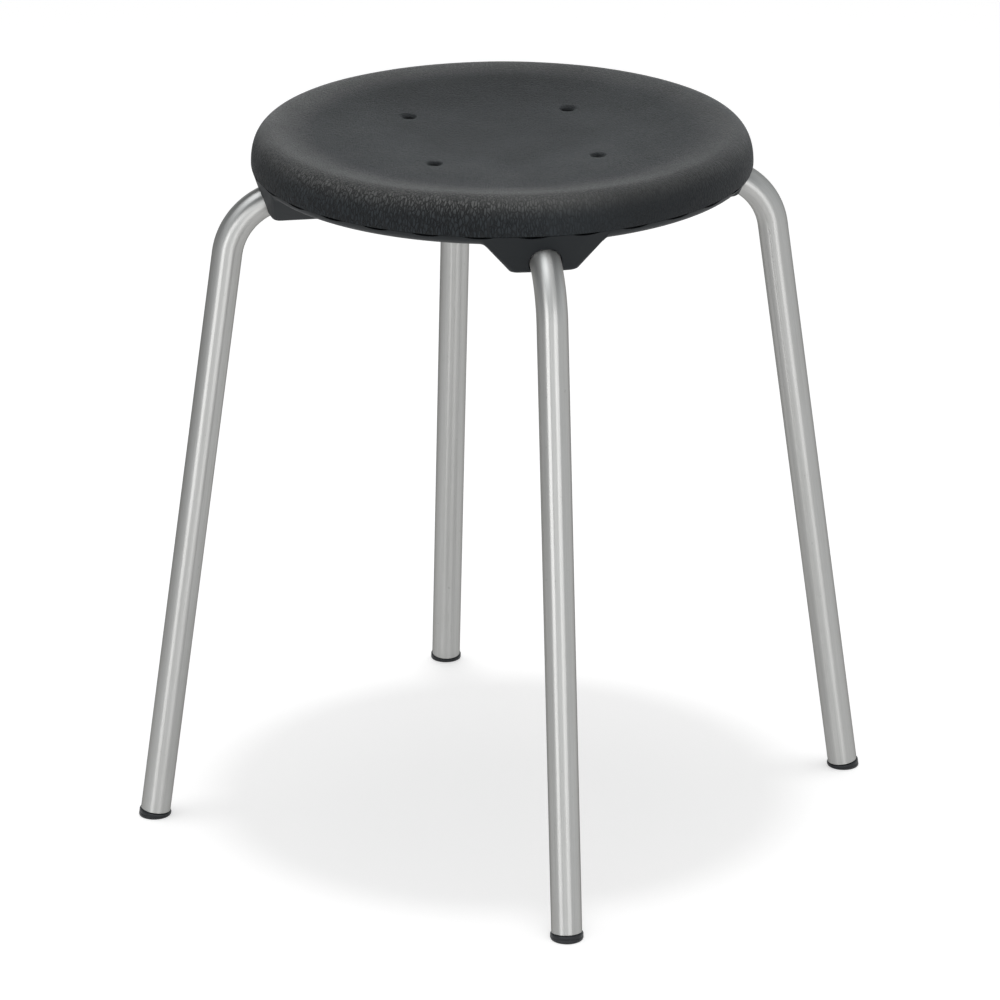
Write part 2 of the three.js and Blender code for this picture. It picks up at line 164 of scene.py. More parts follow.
SEAM_RADIUS = LOWER_RIM_CENTRE + LOWER_RIM_WIDTH * math.cos(
    math.asin((SEAM_HEIGHT - WIDEST_HEIGHT) / LOWER_RIM_HEIGHT))
FOOT_CIRCLE = SEAT_RADIUS + FOOT_REACH
BEND_TURN = math.pi / 2 - SPLAY
BEND_START = FOOT_CIRCLE - RUN_HEIGHT * math.tan(SPLAY) - BEND_RADIUS * math.tan(BEND_TURN / 2)
INNER_END = HUB_RADIUS + TUBE_END_GAP
HOUSING_BOTTOM_WIDTH = 2 * (CHANNEL_RADIUS + HOUSING_SIDE_MARGIN)
HOUSING_TOP_WIDTH = HOUSING_BOTTOM_WIDTH + 2 * HOUSING_FLARE
FOOT_RADIUS = TUBE_RADIUS + FOOT_OVERHANG
STEM_RADIUS = TUBE_RADIUS - TUBE_WALL - CLEARANCE
BOLT_RADII = {place: INNER_END + (BEND_START - INNER_END) * share
              for place, share in BOLT_RUN_SHARES.items()}

# Fineness of round forms
SEAT_SEGMENTS = 256
TUBE_SEGMENTS = 72
CUTTER_SEGMENTS = 64
SMALL_SEGMENTS = 48
SHOULDER_STEPS = 36
DISH_STEPS = 56
DISH_TABLE_STEPS = 200
SHELL_RIM_STEPS = 20
SEAM_STEPS = 12
PIN_MOUTH_STEPS = 10
CORNER_STEPS = 8
FILLET_STEPS = 18
FILLET_CURVE_STEPS = 6
FILLET_TRIES = 12
RUN_STEPS = 4
BEND_STEPS = 28
STRAIGHT_STEPS = 12

# Angles in degrees beyond which an edge stays sharp
SMOOTH_ANGLE = 35
TURNED_ANGLE = 40
SKIN_ANGLE = 50

# Linear colours with their alpha
FOAM_DARK = (0.0135, 0.016, 0.018, 1)
FOAM_PALE = (0.019, 0.0215, 0.0234, 1)
# Painted light on the dish's slopes, at the sides and in front
FOAM_SLOPE_LIGHT = (0.033, 0.037, 0.0395, 1)
# Painted light on the rim's side, which shows most in front, where there is no painted shade
FOAM_SIDE_LIGHT = (0.0245, 0.0305, 0.0355, 1)
# Painted highlight on the crest
FOAM_CREST_HIGHLIGHT = (0.118, 0.12, 0.119, 1)
FOAM_SHADE = (0.006, 0.007, 0.008, 1)
# Painted shade in the grain's creases
FOAM_CREASE_SHADE = (0.0045, 0.005, 0.0056, 1)
# Painted shade inside the pin holes
FOAM_HOLE_SHADE = (0.001, 0.001, 0.0011, 1)
SHELL_DARK = (0.0135, 0.0168, 0.0193, 1)
SHELL_PALE = (0.019, 0.0222, 0.0252, 1)
TUBE_DARK = (0.405, 0.404, 0.392, 1)
TUBE_PALE = (0.49, 0.491, 0.484, 1)
TUBE_STREAK = (0.27, 0.27, 0.263, 1)
TUBE_SPECK = (0.21, 0.209, 0.203, 1)
TUBE_TINT = (0.4, 0.4, 0.39, 1)
GLIDE_DARK = (0.0135, 0.0155, 0.0185, 1)
GLIDE_RUBBED = (0.06, 0.062, 0.064, 1)
BOLT_DARK = (0.36, 0.365, 0.375, 1)
BOLT_PALE = (0.55, 0.555, 0.565, 1)
PLATED_DARK = (0.5, 0.48, 0.42, 1)
PLATED_PALE = (0.66, 0.64, 0.58, 1)
WOOD_DARK = (0.34, 0.21, 0.105, 1)
WOOD_PALE = (0.56, 0.39, 0.225, 1)
WOOD_PLY = (0.3, 0.18, 0.09, 1)
FLOOR_TONE = (0.65, 0.65, 0.65, 1)
WHITE = (1, 1, 1, 1)
COOL_WHITE = (0.95, 0.98, 1, 1)

# Bands in millimetres, from where a look starts to change to where it has changed: first those
# measured out from the stool's axis, then those across the seat, then heights
SLOPE_BAND = (30, 100)
GRAIN_BAND = (50, 130)
CREST_BAND = (126, 162)
PIN_OUTSIDE_BAND = (135, 140)
SHADE_BAND = (160, 170)
RIM_BAND = (161, 171)
SIDE_BAND = (168, 174.5)
CREST_END_BAND = (168, 175)
SIDEWAYS_BAND = (0, 80)
RIGHT_BAND = (0, 150)
FRONT_LEFT_BAND = (85, 165)
FRONT_BAND = (105, 155)
HOLE_TOP_BAND = (491.5, 494)
RUBBED_BAND = (0.2, 3.5)

# Level directions on the foam, and those of the studio that metal mirrors
FRONT_LEFT = (-0.75, -0.66, 0.0)
FRONT = (-0.5, -0.87, 0.0)
LEFT_REAR = (-0.86, 0.5, 0.1)
OVERHEAD = (-0.36, 0.0, 0.933)

# The foam's grain, in cells to a metre and in millimetres
GRAIN_SCALE = 560.0
PEBBLE_DRIFT = 1.4
WRINKLE_DRIFT_AROUND = 1.8
WRINKLE_DRIFT_DOWN = 1.2
WRINKLE_RADIUS = 165.0
WRINKLE_DOWN_SHARE = 0.3

# The camera, at the photograph's angle: degrees, metres, and millimetres for lens and sensor
CAMERA_AZIMUTH = -9.888
CAMERA_ELEVATION = 20.777
CAMERA_ROLL = -0.052
CAMERA_PLACE = (-0.59845, -3.42307, 1.54363)
CAMERA_LENS = 187.33
CAMERA_SENSOR = 36
CAMERA_FAR = 60

# The studio, in metres and strengths of light
FLOOR_SIZE = 30
FLOOR_GLOW = 0.53
FLOOR_SHADE_BAND = (0.3, 1.6)
FLOOR_SHADE = 0.8
WORLD_LIGHT = 0.35
WORLD_SHADE_BAND = (0.4, 0.9)
WORLD_SHADE = 0.5
BACKDROP_GAIN = 0.35
UPPER_LOSS = 0.6
OVERHEAD_GAIN = 2.0
STRIP_HEIGHT = 1.0
STRIP_TARGET = (0, 0, 0.3)


# Mesh helpers

def shade(mesh, smooth_angle):
    mesh.shade_smooth()
    mesh.set_sharp_from_angle(angle=math.radians(smooth_angle))


def make_object(name, verts, faces, smooth_angle=SMOOTH_ANGLE, uvs=None):
    """A mesh object from points in millimetres, with outward faces and smooth shading."""
    mesh = bpy.data.meshes.new(name)
    mesh.from_pydata([tuple(c * MM for c in v) for v in verts], [], faces)
    if uvs is not None:
        layer = mesh.uv_layers.new(name="UVMap")
        for polygon in mesh.polygons:
            for loop, uv in zip(polygon.loop_indices, uvs[polygon.index]):
                layer.data[loop].uv = uv
    bm = bmesh.new()
    bm.from_mesh(mesh)
    bmesh.ops.recalc_face_normals(bm, faces=bm.faces)
    bm.to_mesh(mesh)
    bm.free()
    shade(mesh, smooth_angle)
    obj = bpy.data.objects.new(name, mesh)
    scene.collection.objects.link(obj)
    return obj


def remove(obj):
    mesh = obj.data
    bpy.data.objects.remove(obj)
    bpy.data.meshes.remove(mesh)


def skin(rings, closed=False):
    """Points and faces of a skin through rings of points, where a ring of one point is a pole."""
    verts, index = [], []
    for ring in rings:
        index.append(range(len(verts), len(verts) + len(ring)))
        verts += ring
    faces = []
    following = index[1:] + index[:1] if closed else index[1:]
    for a, b in zip(index, following):
        sides = max(len(a), len(b))
        for k in range(sides):
            n = (k + 1) % sides
            if len(a) == 1:
                faces.append((a[0], b[k], b[n]))
            elif len(b) == 1:
                faces.append((a[k], b[0], a[n]))
            else:
                faces.append((a[k], b[k], b[n], a[n]))
    return verts, faces


def circle(radius, height, segments):
    """A level ring of points, or one point on the axis."""
    if radius == 0:
        return [(0.0, 0.0, height)]
    angles = [2 * math.pi * k / segments for k in range(segments)]
    return [(radius * math.cos(a), radius * math.sin(a), height) for a in angles]


def lathe(name, profile, segments=SEAT_SEGMENTS, smooth_angle=SMOOTH_ANGLE):
    """A profile of (radius, height) from axis to axis, turned about the upright axis."""
    rings = [circle(radius, height, segments) for radius, height in profile]
    return make_object(name, *skin(rings), smooth_angle)


def arc(centre, half_width, half_height, start, end, steps):
    """Points along a part of an ellipse."""
    angles = [start + (end - start) * k / steps for k in range(steps + 1)]
    return [(centre[0] + half_width * math.cos(a), centre[1] + half_height * math.sin(a))
            for a in angles]


def rounded(corners):
    """An outline whose corners are (across, up, radius)."""
    points = []
    for k, (x, y, radius) in enumerate(corners):
        if radius == 0:
            points.append((x, y))
            continue
        corner = Vector((x, y))
        back = (Vector(corners[k - 1][:2]) - corner).normalized()
        ahead = (Vector(corners[(k + 1) % len(corners)][:2]) - corner).normalized()
        half = math.acos(max(-1.0, min(1.0, back.dot(ahead)))) / 2
        middle = corner + (back + ahead).normalized() * radius / math.sin(half)
        first = corner + back * radius / math.tan(half) - middle
        last = corner + ahead * radius / math.tan(half) - middle
        start = math.atan2(first.y, first.x)
        sweep = math.atan2(first.x * last.y - first.y * last.x, first.dot(last))
        points += arc(middle, radius, radius, start, start + sweep, CORNER_STEPS)
    return points


def bar(name, outline, start, end):
    """A bar along +X from an outline of (sideways, up)."""
    count = len(outline)
    verts = [(x, y, z) for x in (start, end) for y, z in outline]
    faces = [(k, (k + 1) % count, count + (k + 1) % count, count + k) for k in range(count)]
    faces += [tuple(range(count)), tuple(range(count, 2 * count))]
    return make_object(name, verts, faces)


def block(name, start, end, half_width, low, high):
    corners = [(-half_width, low), (half_width, low), (half_width, high), (-half_width, high)]
    return bar(name, corners, start, end)


def turned(obj, turn, radius=0.0):
    """Moves a mesh out along +X and turns it about the upright axis, in its own points."""
    out = Matrix.Translation(Vector((radius * MM, 0, 0)))
    obj.data.transform(Matrix.Rotation(turn, 4, "Z") @ out)
    return obj


def copied(obj, name):
    mesh = obj.data.copy()
    mesh.name = name
    made = bpy.data.objects.new(name, mesh)
    scene.collection.objects.link(made)
    return made


def repeated(obj, count, phase=0.0):
    """Turns one closed mesh into a ring of copies that don't touch, to join or cut in one step."""
    bm = bmesh.new()
    for k in range(count):
        mesh = obj.data.copy()
        mesh.transform(Matrix.Rotation(phase + 2 * math.pi * k / count, 4, "Z"))
        bm.from_mesh(mesh)
        bpy.data.meshes.remove(mesh)
    bm.to_mesh(obj.data)
    bm.free()
    return obj


def apply_modifiers(obj, smooth_angle):
    graph = bpy.context.evaluated_depsgraph_get()
    made = bpy.data.meshes.new_from_object(obj.evaluated_get(graph))
    obj.modifiers.clear()
    old = obj.data
    obj.data = made
    bpy.data.meshes.remove(old)
    shade(made, smooth_angle)


def combine(obj, others, operation, smooth_angle=SMOOTH_ANGLE):
    """Joins, cuts or intersects obj with the other closed meshes, and removes them."""
    for other in others:
        modifier = obj.modifiers.new("step", "BOOLEAN")
        modifier.operation = operation
        modifier.solver = "MANIFOLD"
        modifier.object = other
        apply_modifiers(obj, smooth_angle)
        remove(other)
    return obj


def cleaned(obj, smooth_angle=SMOOTH_ANGLE):
    """Merges points that cuts left less than a micrometre apart, and removes faces without area."""
    bm = bmesh.new()
    bm.from_mesh(obj.data)
    bmesh.ops.dissolve_degenerate(bm, dist=MERGE_DISTANCE * MM, edges=bm.edges)
    bm.to_mesh(obj.data)
    bm.free()
    shade(obj.data, smooth_angle)
    return obj


# Node helpers

class Nodes:
    """Adds nodes to one tree and links them."""

    def __init__(self, tree):
        self.tree = tree

    def add(self, kind, settings=None, **inputs):
        node = self.tree.nodes.new(kind)
        for key, value in (settings or {}).items():
            setattr(node, key, value)
        for key, value in inputs.items():
            self.put(node.inputs[key.replace("_", " ")], value)
        return node

    def put(self, socket, value):
        if isinstance(value, bpy.types.NodeSocket):
            self.tree.links.new(value, socket)
        else:
            socket.default_value = value

    def math(self, operation, a, b=0.0, clamp=False):
        node = self.add("ShaderNodeMath", {"operation": operation, "use_clamp": clamp})
        self.put(node.inputs[0], a)
        self.put(node.inputs[1], b)
        return node.outputs[0]

    def product(self, value, *others):
        for other in others:
            value = self.math("MULTIPLY", value, other)
        return value

    def total(self, first, *others):
        """A sum, in which each tuple stands for the product of its values."""
        first, *others = (self.product(*term) if isinstance(term, tuple) else term
                          for term in (first, *others))
        for other in others:
            first = self.math("ADD", first, other)
        return first

    def opposite(self, value):
        return self.math("SUBTRACT", 1.0, value)

    def vector(self, operation, *values):
        node = self.add("ShaderNodeVectorMath", {"operation": operation})
        for socket, value in zip(node.inputs, values):
            self.put(socket, value)
        return node.outputs["Value" if operation in ("LENGTH", "DOT_PRODUCT") else "Vector"]

    def ramp(self, value, low, high):
        """A smooth step from 0 at low to 1 at high."""
        node = self.add("ShaderNodeMapRange", {"interpolation_type": "SMOOTHSTEP"},
                        Value=value, From_Min=low, From_Max=high)
        return node.outputs["Result"]

    def band(self, distance, limits):
        """A smooth step across a band given in millimetres."""
        return self.ramp(distance, limits[0] * MM, limits[1] * MM)

    def mix(self, share, a, b):
        node = self.add("ShaderNodeMix", {"data_type": "RGBA"})
        self.put(node.inputs[0], share)
        self.put(node.inputs[6], a)
        self.put(node.inputs[7], b)
        return node.outputs[2]

    def noise(self, vector, scale, detail=3.0, roughness=0.5):
        return self.add("ShaderNodeTexNoise", Vector=vector, Scale=scale, Detail=detail,
                        Roughness=roughness).outputs["Fac"]

    def cells(self, vector, scale, width):
        """Rounded pebbles: 0 in the creases between them and 1 on top."""
        node = self.add("ShaderNodeTexVoronoi", {"feature": "DISTANCE_TO_EDGE"},
                        Vector=vector, Scale=scale)
        return self.ramp(node.outputs["Distance"], 0.0, width)

    def place(self):
        return self.add("ShaderNodeTexCoord").outputs["Object"]

    def stretched(self, vector, x, y, z):
        return self.vector("MULTIPLY", vector, (x, y, z))

    def bump(self, height, strength, depth, normal=None):
        """A normal bent by a height, whose depth is in millimetres."""
        node = self.add("ShaderNodeBump", Height=height, Strength=strength, Distance=depth * MM)
        if normal is not None:
            self.put(node.inputs["Normal"], normal)
        return node.outputs["Normal"]


class Surface(Nodes):
    """A node material whose shader is Principled."""

    def __init__(self, name):
        self.material = bpy.data.materials.new(name)
        self.material.use_nodes = True
        super().__init__(self.material.node_tree)
        self.shader = self.tree.nodes["Principled BSDF"]

    def set(self, **inputs):
        for key, value in inputs.items():
            self.put(self.shader.inputs[key.replace("_", " ")], value)
        return self.material


# The materials

class Foam(Surface):
    """The cushion's skin, with what its colour, roughness and relief share."""

    def __init__(self):
        super().__init__("foam_skin")
        self.spot = self.place()
        self.axes = self.add("ShaderNodeSeparateXYZ", Vector=self.spot).outputs
        self.across = self.vector("LENGTH", self.stretched(self.spot, 1.0, 1.0, 0.0))
        self.patches = self.noise(self.spot, 26.0, 3.0)
        self.rim = self.band(self.across, RIM_BAND)

    def towards(self, direction, limits):
        return self.band(self.vector("DOT_PRODUCT", self.spot, direction), limits)

    def grain(self):
        """Leather pebbles on top and wrinkles down the rim, with 0 in the creases."""
        drift = self.add("ShaderNodeTexNoise", Vector=self.spot, Scale=420.0, Detail=2.0)
        shift = Vector((PEBBLE_DRIFT, PEBBLE_DRIFT, PEBBLE_DRIFT)) * MM
        warped = self.vector("MULTIPLY_ADD", drift.outputs["Color"], shift, self.spot)
        pebbles = self.cells(warped, GRAIN_SCALE, 0.26)
        turn = self.math("ARCTAN2", self.axes["Y"], self.axes["X"])
        down = self.math("SUBTRACT", self.across, self.axes["Z"])
        sheet = self.add("ShaderNodeCombineXYZ", X=self.product(turn, WRINKLE_RADIUS * MM),
                         Y=self.product(down, WRINKLE_DOWN_SHARE)).outputs[0]
        shift = Vector((WRINKLE_DRIFT_AROUND, WRINKLE_DRIFT_DOWN, 0.0)) * MM
        warped = self.vector("MULTIPLY_ADD", drift.outputs["Color"], shift, sheet)
        return self.mix(self.rim, pebbles, self.cells(warped, GRAIN_SCALE, 0.19))

    def grain_depth(self):
        """Shallow and patchy in the middle, deeper outward, and deepest on the front left's rim."""
        outer = self.band(self.across, GRAIN_BAND)
        front_left = self.towards(FRONT_LEFT, FRONT_LEFT_BAND)
        patchy = self.total((self.patches, 0.4), (outer, 0.4), 0.15)
        return self.product(patchy, self.total((front_left, self.rim, 0.9), 0.8, (self.rim, -0.15)))

    def relief(self, grain, depth):
        """The normal, from the grain and a coarser noise, over a foam that isn't quite even."""
        coarse = self.total(grain, (self.noise(self.spot, 380.0, 3.0, 0.65), 1.3))
        height = self.product(coarse, depth, self.total(1.0, (self.rim, -0.5)))
        return self.bump(height, 1.0, 1.4, self.bump(self.noise(self.spot, 34.0, 2.0), 0.35, 1.2))

    def crest(self):
        """The top of the rim, where a painted highlight makes the skin lighter, less so at the right."""
        outside = self.band(self.across, CREST_END_BAND)
        ring = self.math("SUBTRACT", self.band(self.across, CREST_BAND), outside)
        return self.product(ring, self.total(1.0, (self.band(self.axes["X"], RIGHT_BAND), -0.4)))

    def slopes(self):
        """The slopes of the dish at the sides and in front, where painted light makes the skin lighter."""
        sideways = self.total(self.math("ABSOLUTE", self.axes["X"]), (self.axes["Y"], -0.5))
        return self.product(self.band(sideways, SIDEWAYS_BAND), self.band(self.across, SLOPE_BAND))

    def shade(self):
        """Painted shade on the outer rim, except in front."""
        away = self.opposite(self.towards(FRONT, FRONT_BAND))
        return self.product(away, self.band(self.across, SHADE_BAND))

    def holes(self):
        """The inside of the pin holes, given painted shade and a rougher skin."""
        below = self.opposite(self.band(self.axes["Z"], HOLE_TOP_BAND))
        return self.product(below, self.opposite(self.band(self.across, PIN_OUTSIDE_BAND)))


def finish_cushion():
    """Black integral skin foam, satin, and lightest on the crest from a painted highlight. Painted
    light makes the slopes and side a little lighter than the rest, and painted shade makes the outer
    rim, the creases and the pin holes darker."""
    s = Foam()
    grain, depth, crest, holes = s.grain(), s.grain_depth(), s.crest(), s.holes()
    # The rim's side: painted lighter in the tone, and rougher
    side = s.band(s.across, SIDE_BAND)
    # Painted shade in the creases, darkest where the grain is deepest, on the front left's rim
    crease_shade = s.math("MULTIPLY", s.opposite(grain), depth, clamp=True)
    tone = s.mix(s.patches, FOAM_DARK, FOAM_PALE)
    # Painted light on the slopes and the side, a painted highlight on the crest, and painted shade on the
    # outer rim, in the creases and in the pin holes
    layers = [(s.slopes(), FOAM_SLOPE_LIGHT), (side, FOAM_SIDE_LIGHT), (crest, FOAM_CREST_HIGHLIGHT),
              (s.product(s.shade(), 0.55), FOAM_SHADE), (s.product(crease_shade, 0.78), FOAM_CREASE_SHADE),
              (holes, FOAM_HOLE_SHADE)]
    for share, colour in layers:
        tone = s.mix(share, tone, colour)
    rough = s.total((s.patches, 0.1), (side, 0.12), (crest, -0.07), 0.5, (holes, 0.4))
    return s.set(Base_Color=tone, Roughness=rough, Normal=s.relief(grain, depth),
                 Specular_IOR_Level=0.26)


def finish_shell():
    """Moulded plastic: dark blue grey and matte, with a fine even texture and slight flow marks."""
    s = Surface("shell_plastic")
    place = s.place()
    clouds = s.noise(place, 22.0, 4.0)
    texture = s.noise(place, 2600.0, 2.0, 0.6)
    return s.set(Base_Color=s.mix(clouds, SHELL_DARK, SHELL_PALE),
                 Roughness=s.total((clouds, 0.12), 0.52),
                 Normal=s.bump(texture, 0.22, 0.12, s.bump(clouds, 0.15, 0.6)),
                 Specular_IOR_Level=0.22)


def finish_tube():
    """Brushed stainless tube, with clouding, faint long streaks and some handling marks. Reflections
    are drawn out along it."""
    s = Surface("brushed_stainless")
    along = s.add("ShaderNodeUVMap", {"uv_map": "UVMap"}).outputs["UV"]
    clouds = s.noise(s.stretched(along, 26.0, 60.0, 1.0), 1.0, 4.0, 0.6)
    streaks = s.noise(s.stretched(along, 9.0, 1300.0, 1.0), 1.0, 3.0, 0.6)
    rings = s.noise(s.stretched(along, 3600.0, 70.0, 1.0), 1.0, 3.0, 0.65)
    specks = s.ramp(s.noise(s.stretched(along, 210.0, 260.0, 1.0), 1.0, 2.0), 0.69, 0.78)
    tone = s.mix(clouds, TUBE_DARK, TUBE_PALE)
    tone = s.mix(s.product(s.ramp(streaks, 0.35, 0.75), 0.25), tone, TUBE_STREAK)
    tone = s.mix(s.product(specks, 0.3), tone, TUBE_SPECK)
    tangent = s.add("ShaderNodeTangent", {"direction_type": "UV_MAP", "uv_map": "UVMap"}).outputs[0]
    return s.set(Base_Color=tone, Metallic=1.0, Roughness=s.total((clouds, 0.1), 0.3),
                 Anisotropic=0.93, Tangent=tangent, Specular_Tint=TUBE_TINT,
                 Normal=s.bump(s.total((rings, 0.5), (streaks, 0.5)), 0.16, 0.08))


def finish_glide():
    """Black plastic glide, satin where moulded and rubbed paler near the floor."""
    s = Surface("glide_plastic")
    place = s.place()
    height = s.add("ShaderNodeSeparateXYZ", Vector=place).outputs["Z"]
    scuffs = s.noise(s.stretched(place, 700.0, 700.0, 2400.0), 1.0, 3.0, 0.65)
    worn = s.product(s.ramp(scuffs, 0.5, 0.72), s.opposite(s.band(height, RUBBED_BAND)))
    return s.set(Base_Color=s.mix(worn, GLIDE_DARK, GLIDE_RUBBED),
                 Roughness=s.total((scuffs, 0.25), 0.33), Normal=s.bump(scuffs, 0.25, 0.1),
                 Specular_IOR_Level=0.35)


def finish_steel(name, dark, pale, roughness):
    """Plain or plated steel of small fastenings, with faint mottling."""
    s = Surface(name)
    mottle = s.noise(s.place(), 900.0, 4.0, 0.6)
    return s.set(Base_Color=s.mix(mottle, dark, pale), Metallic=1.0,
                 Roughness=s.total((mottle, 0.2), roughness), Normal=s.bump(mottle, 0.2, 0.05))


def finish_plywood():
    """The plate inside: plain plywood with long grain."""
    s = Surface("plywood")
    place = s.place()
    grain = s.noise(s.stretched(place, 14.0, 420.0, 900.0), 1.0, 5.0, 0.65)
    plies = s.noise(s.stretched(place, 1.0, 1.0, 700.0), 1.0, 1.0)
    tone = s.mix(s.product(plies, 0.3), s.mix(grain, WOOD_DARK, WOOD_PALE), WOOD_PLY)
    return s.set(Base_Color=tone, Roughness=0.72, Normal=s.bump(grain, 0.3, 0.3))


def wear(obj, material):
    obj.data.materials.clear()
    obj.data.materials.append(material)


# The cushion, one skin with its crown, dish, rolled rim and four pin holes

def dish_curve(steps):
    """The top from the crest in to the middle, as points of (radius, height)."""
    places = [Vector((CREST_RADIUS, SEAT_HEIGHT)),
              Vector((CREST_RADIUS * DISH_EDGE_SHARE, SEAT_HEIGHT)),
              Vector((CREST_RADIUS * DISH_FLAT_SHARE, DISH_BOTTOM)),
              Vector((0, DISH_BOTTOM))]
    points = []
    for k in range(steps + 1):
        t = k / steps
        weights = [(1 - t) ** 3, 3 * t * (1 - t) ** 2, 3 * t * t * (1 - t), t ** 3]
        at = sum((p * w for p, w in zip(places, weights)), Vector((0, 0)))
        points.append((at.x, at.y))
    return points


def dish_height(radius):
    points = dish_curve(DISH_TABLE_STEPS)
    for (r1, z1), (r0, z0) in zip(points, points[1:]):
        if r0 <= radius <= r1:
            return z0 + (z1 - z0) * (radius - r0) / (r1 - r0)
    return SEAT_HEIGHT


def shoulder(steps):
    """The upper rim from the widest height up to the crest, a little fuller than an ellipse."""
    points = []
    for k in range(steps + 1):
        angle = math.pi / 2 * k / steps
        out, up = (abs(value) ** (2 / UPPER_RIM_FULLNESS) for value in (math.cos(angle), math.sin(angle)))
        points.append((CREST_RADIUS + UPPER_RIM_WIDTH * out,
                       WIDEST_HEIGHT + (SEAT_HEIGHT - WIDEST_HEIGHT) * up))
    return points


def pin_holes():
    """The four upright holes, whose mouths flare out to the dish, to cut with."""
    surface = dish_height(PIN_CIRCLE)
    flare_width = PIN_FLARE + PIN_DIP_WIDTH
    flare = arc((PIN_RADIUS + flare_width, surface - PIN_MOUTH_DEPTH), flare_width,
                PIN_MOUTH_DEPTH + PIN_MOUTH_RISE, math.pi, math.pi / 2, PIN_MOUTH_STEPS)
    hole = lathe("pin_hole", [(0, RECESS_TOP - OVERRUN), (PIN_RADIUS, RECESS_TOP - OVERRUN), *flare,
                              (PIN_RADIUS + flare_width, SEAT_HEIGHT), (0, SEAT_HEIGHT)],
                 SMALL_SEGMENTS)
    return repeated(turned(hole, 0, PIN_CIRCLE), PIN_COUNT, math.pi / PIN_COUNT)


def unevenness(mesh):
    """The slight waviness of a moulded foam skin, inward only, so that the size stays."""
    lowest = (PLATE_TOP + WAVE_MARGIN_UP) * MM
    nearest = (RECESS_RADIUS + WAVE_MARGIN_OUT) * MM
    for vertex in mesh.vertices:
        x, y, z = vertex.co
        if z > lowest or math.hypot(x, y) > nearest:
            wave = 0.5 + 0.5 * noise.noise(vertex.co * WAVES_PER_METRE)
            vertex.co.z -= WAVE_DEPTH * MM * max(0.0, min(1.0, wave))
    mesh.update()


def make_cushion():
    seam_angle = math.asin((SEAM_HEIGHT - WIDEST_HEIGHT) / LOWER_RIM_HEIGHT)
    lower = arc((LOWER_RIM_CENTRE, WIDEST_HEIGHT), LOWER_RIM_WIDTH, LOWER_RIM_HEIGHT,
                seam_angle, 0, SEAM_STEPS)
    profile = [(0, RECESS_TOP), (RECESS_RADIUS, RECESS_TOP), (RECESS_RADIUS, SEAM_HEIGHT),
               (SEAM_RADIUS - SEAM_EDGE_INSET, SEAM_HEIGHT),
               (SEAM_RADIUS - SEAM_EDGE_STEP, SEAM_HEIGHT + SEAM_EDGE_RISE)]
    profile += lower[1:] + shoulder(SHOULDER_STEPS)[1:] + dish_curve(DISH_STEPS)[1:]
    cushion = lathe("cushion_skin", profile, SEAT_SEGMENTS, SKIN_ANGLE)
    cleaned(combine(cushion, [pin_holes()], "DIFFERENCE", SKIN_ANGLE), SKIN_ANGLE)
    unevenness(cushion.data)
    return cushion


# The shell: a tray, four ribbed housings with their mouths, and the gaps along the seam

def envelope(inset, bottom, top):
    """The turned surface that bounds the housings all round, moved inward by a wall."""
    slope = HOUSING_SETBACK / (RIM_TOP - HOUSING_BOTTOM)
    face = SEAM_RADIUS - inset
    return lathe("envelope", rounded([
        (0, bottom, 0),
        (face - (RIM_TOP - bottom) * slope, bottom, HOUSING_EDGE_RADIUS),
        (face - (RIM_TOP - top) * slope, top, 0),
        (0, top, 0),
    ]))


def housing_section(inset, bottom, top):
    """A housing's section seen from its end, moved inward by a wall."""
    slope = HOUSING_FLARE / (FLOOR_BOTTOM - HOUSING_BOTTOM)
    middle = HOUSING_BOTTOM_WIDTH / 2 - inset * math.hypot(1, slope)
    low = middle + (bottom - HOUSING_BOTTOM) * slope
    high = middle + (top - HOUSING_BOTTOM) * slope
    return rounded([(-low, bottom, HOUSING_CORNER_RADIUS), (low, bottom, HOUSING_CORNER_RADIUS),
                    (high, top, 0), (-high, top, 0)])


def filleted_section():
    """A housing's section that ends under the shell's floor with a fillet on each side."""
    low, high = HOUSING_BOTTOM_WIDTH / 2, HOUSING_TOP_WIDTH / 2
    flare = high + HOUSING_FILLET
    half = [(low, HOUSING_BOTTOM, HOUSING_CORNER_RADIUS), (high, FLOOR_BOTTOM, HOUSING_FILLET),
            (flare, FLOOR_BOTTOM, 0), (flare, FLOOR_TOP, 0)]
    other = [(-across, up, radius) for across, up, radius in reversed(half)]
    return rounded([other[-1], *half, *other[:-1]])


def housing_walls(height):
    """How far a housing's side stands from its middle plane, and its face from the stool's axis."""
    flare = HOUSING_FLARE * (height - HOUSING_BOTTOM) / (FLOOR_BOTTOM - HOUSING_BOTTOM)
    setback = HOUSING_SETBACK * (RIM_TOP - height) / (RIM_TOP - HOUSING_BOTTOM)
    return HOUSING_BOTTOM_WIDTH / 2 + flare, SEAM_RADIUS - setback


def corner_centre(half_width, reach):
    """Where the rounding between a housing's side and its face has its centre, along the housing."""
    return math.sqrt((reach - HOUSING_PLAN_RADIUS) ** 2 - (half_width - HOUSING_PLAN_RADIUS) ** 2)


def arm_ring(side, end):
    """A ring round a bar with a housing at both ends, from a point each of its side and its face."""
    (half_width, side_height), (reach, end_height) = side, end
    centre = corner_centre(half_width, reach)
    turn = math.atan2(half_width - HOUSING_PLAN_RADIUS, centre)
    face = arc((0, 0), reach, reach, 0, turn, CORNER_STEPS)
    corner = arc((centre, half_width - HOUSING_PLAN_RADIUS), HOUSING_PLAN_RADIUS, HOUSING_PLAN_RADIUS,
                 turn, math.pi / 2, CORNER_STEPS)
    quarter = [(x, y, end_height) for x, y in face[:-1]]
    for k, (x, y) in enumerate(corner):
        quarter.append((x, y, end_height + (side_height - end_height) * k / CORNER_STEPS))
    ring = quarter + [(-x, y, z) for x, y, z in reversed(quarter)]
    ring += [(-x, -y, z) for x, y, z in quarter[1:]]
    return ring + [(x, -y, z) for x, y, z in reversed(quarter[1:])]


